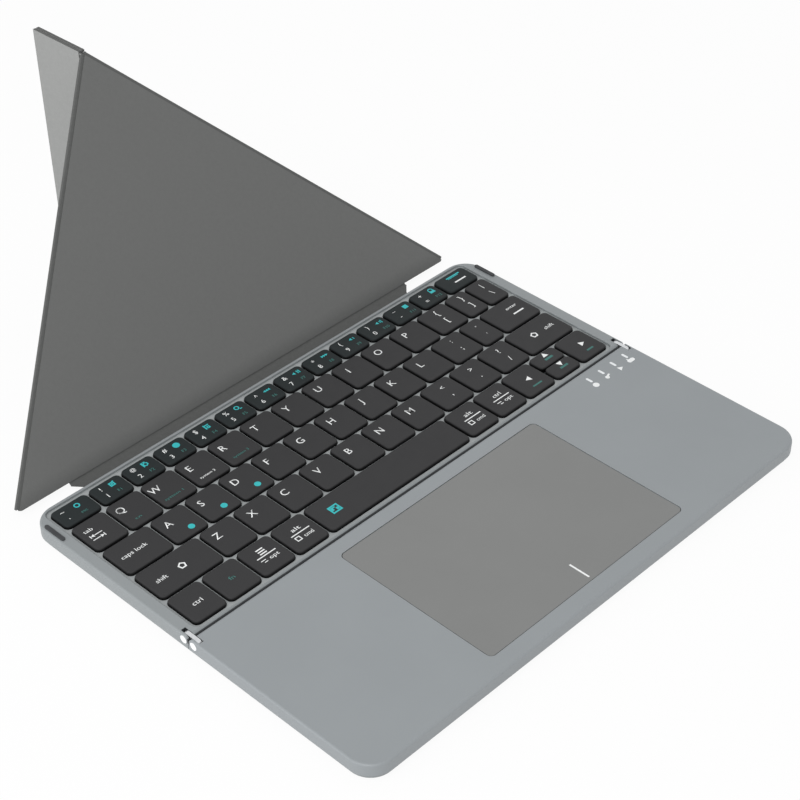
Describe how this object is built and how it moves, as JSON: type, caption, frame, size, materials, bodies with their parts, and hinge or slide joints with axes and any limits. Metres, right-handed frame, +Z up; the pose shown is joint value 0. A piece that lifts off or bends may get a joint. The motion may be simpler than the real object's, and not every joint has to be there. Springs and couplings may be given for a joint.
{
  "type": "folding keyboard",
  "caption": "Thin folding keyboard: a key half and a touchpad half on double-pivot hinges, with a creased cover at the rear that folds up into a stand.",
  "frame": {"origin": "on the desk under the centre of the outline of the whole part, open and standing", "axes": "+X to the typist's right, +Y away from the typist towards the cover, +Z up"},
  "size_m": [0.249, 0.3208, 0.1242],
  "materials": {
    "case_top": "satin",
    "case_bottom": "satin",
    "key_cap": "matte",
    "plate": "rolled",
    "membrane": "smooth",
    "dome": "matte",
    "frame": "matte",
    "wire": "drawn",
    "bumper": "matte",
    "foot": "matte",
    "screw": "dark",
    "magnet": "plated",
    "pin": "turned",
    "link": "brushed",
    "touchpad": "satin",
    "board": "solder mask",
    "battery": "foil",
    "socket": "bright",
    "switch": "bright",
    "slider": "matte",
    "lens": "clear",
    "cover": "fine grain",
    "cover_back": "fine grain"
  },
  "bodies": {
    "keyboard_half": {"keyboard_top_case": "case_top", "keyboard_bottom_cover": "case_bottom", "key_support_plate": "plate", "switch_membrane": "membrane", "rubber_domes": "dome", "scissor_frames": "frame", "space_bar_stabilizer": "wire", "keyboard_bumpers": "bumper", "keyboard_feet": "foot", "keyboard_screws": "screw", "keyboard_magnets": "magnet", "keyboard_hinge_pins": "pin", "cover_anchor": "cover"},
    "links": {"hinge_link_left": "link", "hinge_link_right": "link"},
    "touchpad_half": {"touchpad_top_case": "case_top", "touchpad_bottom_cover": "case_bottom", "click_switch": "switch", "main_board": "board", "battery": "battery", "charging_socket": "socket", "indicator_lenses": "lens", "touchpad_feet": "foot", "touchpad_screws": "screw", "touchpad_magnets": "magnet", "touchpad_hinge_pins": "pin"},
    "touchpad": {"touchpad_sheet": "touchpad", "touchpad_board": "board"},
    "slider": {"power_slider": "slider"},
    "spine": {"cover_spine": "cover"},
    "front_panel": {"cover_front_panel": "cover"},
    "left_wing": {"cover_left_wing": "cover_back"},
    "right_wing": {"cover_right_wing": "cover_back"},
    "left_fin": {"cover_left_fin": "cover_back"},
    "right_fin": {"cover_right_fin": "cover_back"},
    "number_keys": {"number_keys": "key_cap"},
    "top_row_keys": {"top_row_keys": "key_cap"},
    "home_row_keys": {"home_row_keys": "key_cap"},
    "bottom_row_keys": {"bottom_row_keys": "key_cap"},
    "backtick_key": {"backtick_key": "key_cap"},
    "backspace_key": {"backspace_key": "key_cap"},
    "tab_key": {"tab_key": "key_cap"},
    "backslash_key": {"backslash_key": "key_cap"},
    "caps_lock_key": {"caps_lock_key": "key_cap"},
    "enter_key": {"enter_key": "key_cap"},
    "left_shift_key": {"left_shift_key": "key_cap"},
    "right_shift_key": {"right_shift_key": "key_cap"},
    "left_ctrl_key": {"left_ctrl_key": "key_cap"},
    "fn_key": {"fn_key": "key_cap"},
    "menu_key": {"menu_key": "key_cap"},
    "left_alt_key": {"left_alt_key": "key_cap"},
    "space_bar": {"space_bar": "key_cap"},
    "right_alt_key": {"right_alt_key": "key_cap"},
    "right_ctrl_key": {"right_ctrl_key": "key_cap"},
    "left_arrow_key": {"left_arrow_key": "key_cap"},
    "up_arrow_key": {"up_arrow_key": "key_cap"},
    "down_arrow_key": {"down_arrow_key": "key_cap"},
    "right_arrow_key": {"right_arrow_key": "key_cap"}
  },
  "joints": [
    {"name": "fold_rear", "type": "hinge", "parent": "keyboard_half", "child": "links", "pos_m": [0, -0.06474, 0.0065], "axis": [-1, 0, 0], "range_deg": [0, 90]},
    {"name": "fold_front", "type": "hinge", "parent": "links", "child": "touchpad_half", "pos_m": [0, -0.07014, 0.0065], "axis": [-1, 0, 0], "range_deg": [0, 90]},
    {"name": "touchpad_press", "type": "hinge", "parent": "touchpad_half", "child": "touchpad", "pos_m": [0, -0.07564, 0.00815], "axis": [1, 0, 0], "range_deg": [0, 0.3], "stiffness_Nm_per_rad": 8, "springref_deg": -14.32},
    {"name": "power_slide", "type": "slide", "parent": "touchpad_half", "child": "slider", "axis": [0, -1, 0], "range_m": [0, 0.0024]},
    {"name": "cover_swing", "type": "hinge", "parent": "keyboard_half", "child": "spine", "pos_m": [0, 0.02666, 0.0014], "axis": [-1, 0, 0], "range_deg": [-83.16, 0]},
    {"name": "cover_bend", "type": "hinge", "parent": "spine", "child": "front_panel", "pos_m": [0, 0.03666, 0.0026], "axis": [-1, 0, 0], "range_deg": [-44.15, 0]},
    {"name": "left_wing_fold", "type": "hinge", "parent": "front_panel", "child": "left_wing", "pos_m": [-0.1245, 0.03666, 0.0026], "axis": [-0.629, -0.4712, -0.6184], "range_deg": [-130.88, 0]},
    {"name": "right_wing_fold", "type": "hinge", "parent": "front_panel", "child": "right_wing", "pos_m": [0.1245, 0.03666, 0.0026], "axis": [-0.629, 0.4712, 0.6184], "range_deg": [-130.88, 0]},
    {"name": "left_fin_fold", "type": "hinge", "parent": "left_wing", "child": "left_fin", "pos_m": [-0.00085, 0.12929, 0.12417], "axis": [0, 0.0227, 0.9997], "range_deg": [-54, 0]},
    {"name": "right_fin_fold", "type": "hinge", "parent": "right_wing", "child": "right_fin", "pos_m": [0.00085, 0.12929, 0.12417], "axis": [0, -0.0227, -0.9997], "range_deg": [-54, 0]},
    {"name": "number_row_press", "type": "slide", "parent": "keyboard_half", "child": "number_keys", "axis": [0, 0, -1], "range_m": [0, 0.0013], "stiffness_N_per_m": 460, "springref_m": -0.0005},
    {"name": "top_row_press", "type": "slide", "parent": "keyboard_half", "child": "top_row_keys", "axis": [0, 0, -1], "range_m": [0, 0.0013], "stiffness_N_per_m": 460, "springref_m": -0.0005},
    {"name": "home_row_press", "type": "slide", "parent": "keyboard_half", "child": "home_row_keys", "axis": [0, 0, -1], "range_m": [0, 0.0013], "stiffness_N_per_m": 460, "springref_m": -0.0005},
    {"name": "bottom_row_press", "type": "slide", "parent": "keyboard_half", "child": "bottom_row_keys", "axis": [0, 0, -1], "range_m": [0, 0.0013], "stiffness_N_per_m": 460, "springref_m": -0.0005},
    {"name": "backtick_press", "type": "slide", "parent": "keyboard_half", "child": "backtick_key", "axis": [0, 0, -1], "range_m": [0, 0.0013], "stiffness_N_per_m": 460, "springref_m": -0.0005},
    {"name": "backspace_press", "type": "slide", "parent": "keyboard_half", "child": "backspace_key", "axis": [0, 0, -1], "range_m": [0, 0.0013], "stiffness_N_per_m": 460, "springref_m": -0.0005},
    {"name": "tab_press", "type": "slide", "parent": "keyboard_half", "child": "tab_key", "axis": [0, 0, -1], "range_m": [0, 0.0013], "stiffness_N_per_m": 460, "springref_m": -0.0005},
    {"name": "backslash_press", "type": "slide", "parent": "keyboard_half", "child": "backslash_key", "axis": [0, 0, -1], "range_m": [0, 0.0013], "stiffness_N_per_m": 460, "springref_m": -0.0005},
    {"name": "caps_lock_press", "type": "slide", "parent": "keyboard_half", "child": "caps_lock_key", "axis": [0, 0, -1], "range_m": [0, 0.0013], "stiffness_N_per_m": 460, "springref_m": -0.0005},
    {"name": "enter_press", "type": "slide", "parent": "keyboard_half", "child": "enter_key", "axis": [0, 0, -1], "range_m": [0, 0.0013], "stiffness_N_per_m": 460, "springref_m": -0.0005},
    {"name": "left_shift_press", "type": "slide", "parent": "keyboard_half", "child": "left_shift_key", "axis": [0, 0, -1], "range_m": [0, 0.0013], "stiffness_N_per_m": 460, "springref_m": -0.0005},
    {"name": "right_shift_press", "type": "slide", "parent": "keyboard_half", "child": "right_shift_key", "axis": [0, 0, -1], "range_m": [0, 0.0013], "stiffness_N_per_m": 460, "springref_m": -0.0005},
    {"name": "left_ctrl_press", "type": "slide", "parent": "keyboard_half", "child": "left_ctrl_key", "axis": [0, 0, -1], "range_m": [0, 0.0013], "stiffness_N_per_m": 460, "springref_m": -0.0005},
    {"name": "fn_press", "type": "slide", "parent": "keyboard_half", "child": "fn_key", "axis": [0, 0, -1], "range_m": [0, 0.0013], "stiffness_N_per_m": 460, "springref_m": -0.0005},
    {"name": "menu_press", "type": "slide", "parent": "keyboard_half", "child": "menu_key", "axis": [0, 0, -1], "range_m": [0, 0.0013], "stiffness_N_per_m": 460, "springref_m": -0.0005},
    {"name": "left_alt_press", "type": "slide", "parent": "keyboard_half", "child": "left_alt_key", "axis": [0, 0, -1], "range_m": [0, 0.0013], "stiffness_N_per_m": 460, "springref_m": -0.0005},
    {"name": "space_bar_press", "type": "slide", "parent": "keyboard_half", "child": "space_bar", "axis": [0, 0, -1], "range_m": [0, 0.0013], "stiffness_N_per_m": 460, "springref_m": -0.0005},
    {"name": "right_alt_press", "type": "slide", "parent": "keyboard_half", "child": "right_alt_key", "axis": [0, 0, -1], "range_m": [0, 0.0013], "stiffness_N_per_m": 460, "springref_m": -0.0005},
    {"name": "right_ctrl_press", "type": "slide", "parent": "keyboard_half", "child": "right_ctrl_key", "axis": [0, 0, -1], "range_m": [0, 0.0013], "stiffness_N_per_m": 460, "springref_m": -0.0005},
    {"name": "left_arrow_press", "type": "slide", "parent": "keyboard_half", "child": "left_arrow_key", "axis": [0, 0, -1], "range_m": [0, 0.0013], "stiffness_N_per_m": 460, "springref_m": -0.0005},
    {"name": "up_arrow_press", "type": "slide", "parent": "keyboard_half", "child": "up_arrow_key", "axis": [0, 0, -1], "range_m": [0, 0.0013], "stiffness_N_per_m": 460, "springref_m": -0.0005},
    {"name": "down_arrow_press", "type": "slide", "parent": "keyboard_half", "child": "down_arrow_key", "axis": [0, 0, -1], "range_m": [0, 0.0013], "stiffness_N_per_m": 460, "springref_m": -0.0005},
    {"name": "right_arrow_press", "type": "slide", "parent": "keyboard_half", "child": "right_arrow_key", "axis": [0, 0, -1], "range_m": [0, 0.0013], "stiffness_N_per_m": 460, "springref_m": -0.0005}
  ],
  "couplings": [
    {"joint": "fold_front", "follows": "fold_rear", "ratio": 1},
    {"joint": "cover_bend", "follows": "cover_swing", "ratio": 0.53087},
    {"joint": "right_wing_fold", "follows": "left_wing_fold", "ratio": 1},
    {"joint": "left_fin_fold", "follows": "left_wing_fold", "ratio": 0.41258},
    {"joint": "right_fin_fold", "follows": "left_wing_fold", "ratio": 0.41258}
  ]
}
